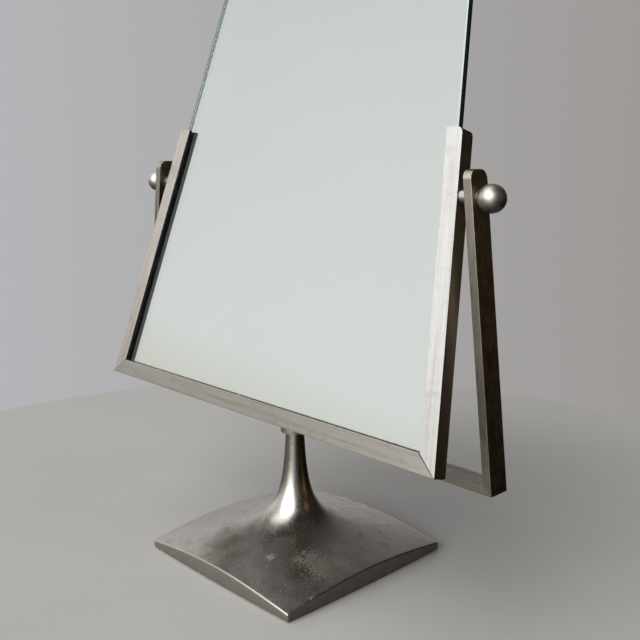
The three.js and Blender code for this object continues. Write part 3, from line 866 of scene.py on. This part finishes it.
def draw_open_mitre(point):
    """Opens the bottom rail's right-hand mitre a little towards the glass, as the worn one is."""
    inner = in_mirror(point).z > -FRAME_CORNER_DOWN - OPEN_MITRE_DEPTH
    return Vector((-OPEN_MITRE, 0, 0)) if inner and frame_mitre(point) == "right" else Vector()


def draw_crossbar_out(point):
    """Closes the gaps between the crossbar and the arms, from the crossbar's side."""
    return Vector((math.copysign(BRAZED, point.x), 0, 0)) if yoke_mitre(point) else Vector()


def draw_arm_down(point):
    """Closes the gap between an arm and the crossbar, from the arm's side."""
    return Vector((0, 0, -BRAZED)) if point.z < YOKE_CORNER_UP else Vector()


def darken_groove(piece, material):
    """Puts the material on the faces of a rail that hold the glass, as painted shade inside the channel, and
    on its mitres, as dark joint lines.
    """
    piece.data.materials.append(material)
    unturned = MIRROR_PLACE.to_3x3().inverted()
    for polygon in piece.data.polygons:
        facing = unturned @ polygon.normal
        centre = in_mirror(polygon.center)
        flange = abs(facing.y) > 0.9 and abs(centre.y) < GROOVE_HALF
        if piece.name.startswith("rail_bottom"):
            inward = facing.z > 0.7 and abs(centre.y) < GROOVE_HALF / 2
        else:
            inward = -facing.x * math.copysign(1, centre.x) > 0.7
        mitre = min(abs(facing.x), abs(facing.z)) > 0.4
        # Painted shade on the groove faces; dark joint lines on the mitres.
        if flange or inward or mitre:
            polygon.material_index = 1


# ---------------------------------------------------------------- glass

ARRIS = 0.7 * MM
GLASS_TOP_RADIUS = 2 * MM
GLASS_FRONT, SILVER, GLASS_SIDE, GROUND = range(4)  # its material slots


def glass_outline(low, high):
    """The tapered outline between the lowest and highest corners of the glass, anticlockwise."""
    top_x = high.x - math.tan(TAPER) * (high.z - low.z)
    corners = [
        Vector((low.x, low.z)), Vector((high.x, low.z)), Vector((top_x, high.z)), Vector((-top_x, high.z)),
    ]
    return rounded(corners, [0, 0, GLASS_TOP_RADIUS, GLASS_TOP_RADIUS], steps=8)


def make_glass(glass_material, silver_material, side_material, ground_material):
    """The glass with its ground edge, silvered on its back face."""
    low, high = mirror_box("mirror_glass")
    bm = bmesh.new()
    thick_panel(bm, glass_outline(low, high), low.y, high.y, ARRIS, steps=1)
    piece = add_piece("mirror_glass_fine", bm, "mirror", glass_material, ["mirror_glass"],
                      MIRROR_PLACE)
    for material in (silver_material, side_material, ground_material):
        piece.data.materials.append(material)
    toward_back = MIRROR_PLACE.to_3x3() @ Vector((0, 1, 0))
    for polygon in piece.data.polygons:
        facing = polygon.normal.dot(toward_back)
        polygon.use_smooth = False
        if facing > 0.99:
            polygon.material_index = SILVER
        elif facing < -0.99 or polygon.normal.x < -0.9:
            polygon.material_index = GLASS_FRONT
        else:
            polygon.material_index = GLASS_SIDE if abs(facing) < 0.1 else GROUND


# ---------------------------------------------------------------- pivots and knobs

STUD_BORE_RADIUS = 2.8 * MM
KNOB_BORE_DEPTH = 10 * MM
KNOB_BORE_EDGE = 0.3 * MM
KNOB_FLAT_EDGE = 0.15 * MM
BALL_STEPS = 56
BALL_SIDES = 96
RING_SIDES = 72


def along_x(side):
    """Turns a shape made about Z so that its heights run outwards along the pivot axis."""
    return Matrix.Translation(PIVOT) @ Matrix.Rotation(side * math.pi / 2, 4, "Y")


def make_ball(side_name, side, material):
    """A ball with a flat and a blind bore on the side towards the mirror."""
    node = f"ball_knob_{side_name}"
    low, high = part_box(node)
    radius = (high.z - low.z) / 2
    outer = high.x if side > 0 else -low.x
    flat = low.x if side > 0 else -high.x
    centre = outer - radius
    flat_angle = math.acos((centre - flat) / radius)
    profile = [
        (0, flat + KNOB_BORE_DEPTH),
        (STUD_BORE_RADIUS, flat + KNOB_BORE_DEPTH),
        (STUD_BORE_RADIUS, flat + KNOB_BORE_EDGE),
        (STUD_BORE_RADIUS + KNOB_BORE_EDGE, flat),
        (radius * math.sin(flat_angle) - KNOB_FLAT_EDGE, flat),
    ]
    for step in range(1, BALL_STEPS):
        angle = flat_angle + (math.pi - flat_angle) * step / BALL_STEPS
        profile.append((radius * math.sin(angle), centre - radius * math.cos(angle)))
    profile.append((0, outer))
    bm = bmesh.new()
    turned(bm, profile, BALL_SIDES)
    add_piece(f"{node}_fine", bm, f"knob_{side_name}", material, [node],
              along_x(side))


def make_washer(node, side, body, material, edge):
    """A washer on the pivot axis with rounded rims."""
    low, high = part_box(node)
    near, far = (low.x, high.x) if side > 0 else (-high.x, -low.x)
    radius = (high.z - low.z) / 2
    bore = STUD_BORE_RADIUS
    corners = [Vector((bore, near)), Vector((radius, near)), Vector((radius, far)), Vector((bore, far))]
    profile = [tuple(p) for p in rounded(corners, edge)]
    bm = bmesh.new()
    turned(bm, profile, RING_SIDES)
    flatten_faces(add_piece(f"{node}_fine", bm, body, material, [node], along_x(side)),
                  keep_sharp=True)


# ---------------------------------------------------------------- build

LENGTHWISE, UPRIGHT = Vector((1, 0, 0)), Vector((0, 0, 1))


def rail_grain(side):
    """The direction that a side rail was brushed in, along its length."""
    return MIRROR_PLACE.to_3x3() @ Vector((-side * math.sin(TAPER), 0, math.cos(TAPER)))


bpy.context.scene.view_settings.view_transform = "Standard"
make_camera()
make_world()
make_floor()

plated_iron = nickel("worn_nickel_on_iron", 0.23, tarnish_and_shade=0.5, on_base=True, depth=0.005 * MM)
plated_steel = nickel("worn_nickel_on_steel", 0.30)
# Grey plate with heavy tarnish for the seat washer, made darker also as painted shade for where it sits
# under the crossbar.
shaded_dull_steel = nickel("dull_nickel_with_painted_shade_on_steel", 0.45, GREY_NICKEL, tarnish_and_shade=0.9)
bottom_rail = nickel("worn_nickel_bottom_rail", 0.36, grain=LENGTHWISE)
crossbar = nickel("worn_nickel_crossbar", 0.38, GREY_NICKEL, grain=LENGTHWISE)
knob_steel = nickel("worn_nickel_on_knobs", 0.39, tarnish_and_shade=0.7)
# The right rail gets whiter plate and less tarnish than the left rail, and the left arm more tarnish than
# the right arm: painted light and shade, lighter on the right and darker on the left as the light falls.
arms = {
    "right": nickel("worn_nickel_arm_right", 0.36, GREY_NICKEL, grain=UPRIGHT),
    "left": nickel("worn_nickel_arm_left", 0.36, GREY_NICKEL, grain=UPRIGHT, tarnish_and_shade=1.0),
}
rails = {
    "right": nickel("worn_nickel_rail_right", 0.34, LIT_WHITE_NICKEL, grain=rail_grain(1), tarnish_and_shade=0.35),
    "left": nickel("worn_nickel_rail_left", 0.34, grain=rail_grain(-1), tarnish_and_shade=0.6),
}
turned_steel = plain_steel("turned_steel", (0.42, 0.40, 0.37), 0.4)
felt = matte("green_felt", (0.03, 0.04, 0.024), 1800, 0.2 * MM, 0.95)
# Black board for the mirror's back; the same black also goes on the rails' grooves as painted shade, and on
# their mitres as dark joints.
black_board_and_groove_shade = matte("black_board_and_painted_groove_shade", (0.012, 0.012, 0.012), 300, 0.05 * MM, 0.6)
black_rubber = matte("black_bedding", (0.01, 0.01, 0.01), 900, 0.03 * MM)
fibre = matte("vulcanised_fibre", (0.10, 0.05, 0.03), 900, 0.03 * MM, 0.7)

make_base(plated_iron)
refine("base_felt", "stand", felt, 0.2 * MM)
refine("seat_washer", "stand", shaded_dull_steel, 0.4 * MM)
refine("yoke_screw", "stand", turned_steel, 0.2 * MM)
refine("base_washer", "stand", turned_steel, 0.2 * MM)
refine("base_nut", "stand", turned_steel, 0.3 * MM)
refine("yoke_crossbar", "stand", crossbar, 0.5 * MM, yoke_mitre, draw_crossbar_out)
darken_groove(
    refine("rail_bottom", "mirror", bottom_rail, 0.4 * MM, frame_mitre, draw_open_mitre), black_board_and_groove_shade,
)
refine("mirror_backing", "mirror", black_board_and_groove_shade, 0.3 * MM)
refine("bedding_strip_bottom", "mirror", black_rubber, 0.1 * MM)
make_glass(clear_glass(), silvering(), glass_edge(), ground_arris())
for name, side in SIDES:
    refine(f"yoke_arm_{name}", "stand", arms[name], 0.5 * MM, yoke_mitre, draw_arm_down)
    darken_groove(refine(f"rail_{name}", "mirror", rails[name], 0.4 * MM, frame_mitre), black_board_and_groove_shade)
    refine(f"bedding_strip_{name}", "mirror", black_rubber, 0.1 * MM)
    refine(f"clamp_screw_{name}", "mirror", turned_steel, 0.15 * MM)
    refine(f"pivot_stud_{name}", "mirror", turned_steel, 0.25 * MM)
    refine(f"spacer_bush_{name}", "mirror", plated_steel, 0.5 * MM)
    make_washer(f"friction_washer_{name}", side, "mirror", fibre, 0.15 * MM)
    make_washer(f"knob_washer_{name}", side, f"thread_{name}", turned_steel, 0.2 * MM)
    make_ball(name, side, knob_steel)
